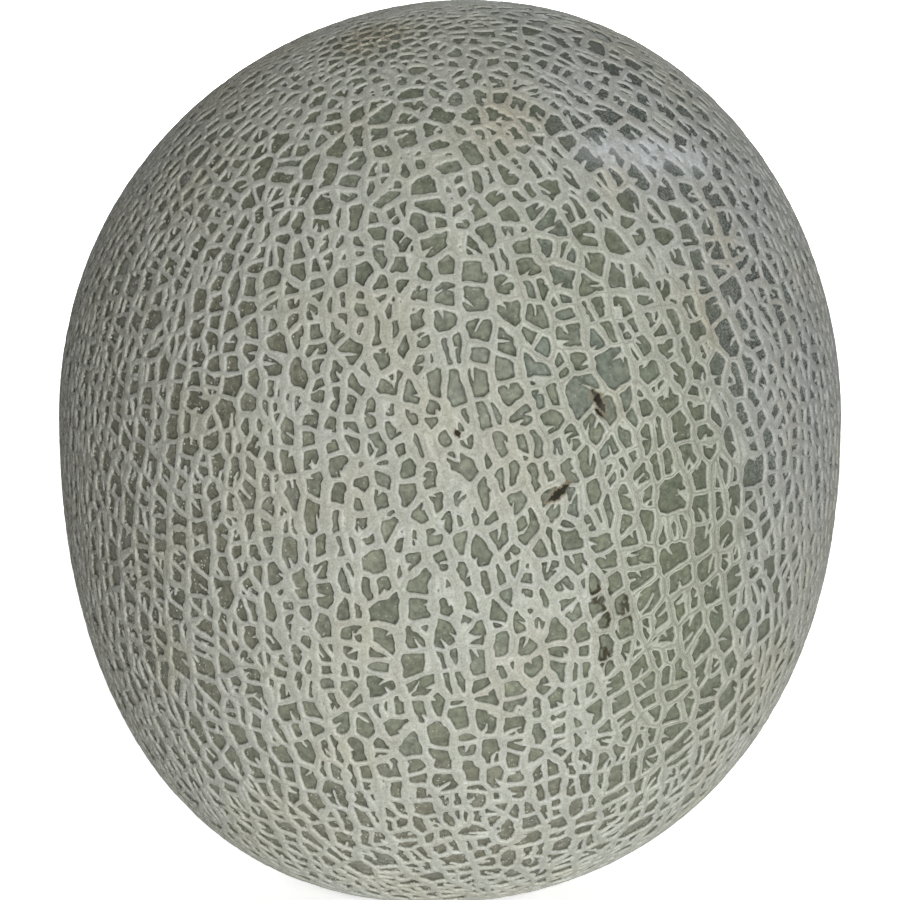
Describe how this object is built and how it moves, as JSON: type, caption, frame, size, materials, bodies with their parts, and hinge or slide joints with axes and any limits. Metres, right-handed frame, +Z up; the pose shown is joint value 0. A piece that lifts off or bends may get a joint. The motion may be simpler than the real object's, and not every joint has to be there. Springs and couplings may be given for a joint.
{
  "type": "cantaloupe melon",
  "caption": "Whole ripe cantaloupe melon with a closely netted rind, standing on the small flat spot at its base.",
  "frame": {"origin": "on the surface that the melon stands on, under the middle of its bounding box", "axes": "+Z up from the flat spot to the crown, -Y towards the side seen in the picture, +X to the right in it"},
  "size_m": [0.15, 0.15, 0.172],
  "materials": {
    "rind": "matt, pale corky net over grey-green skin"
  },
  "bodies": {
    "root": {"cantaloupe_melon": "rind"}
  },
  "joints": []
}
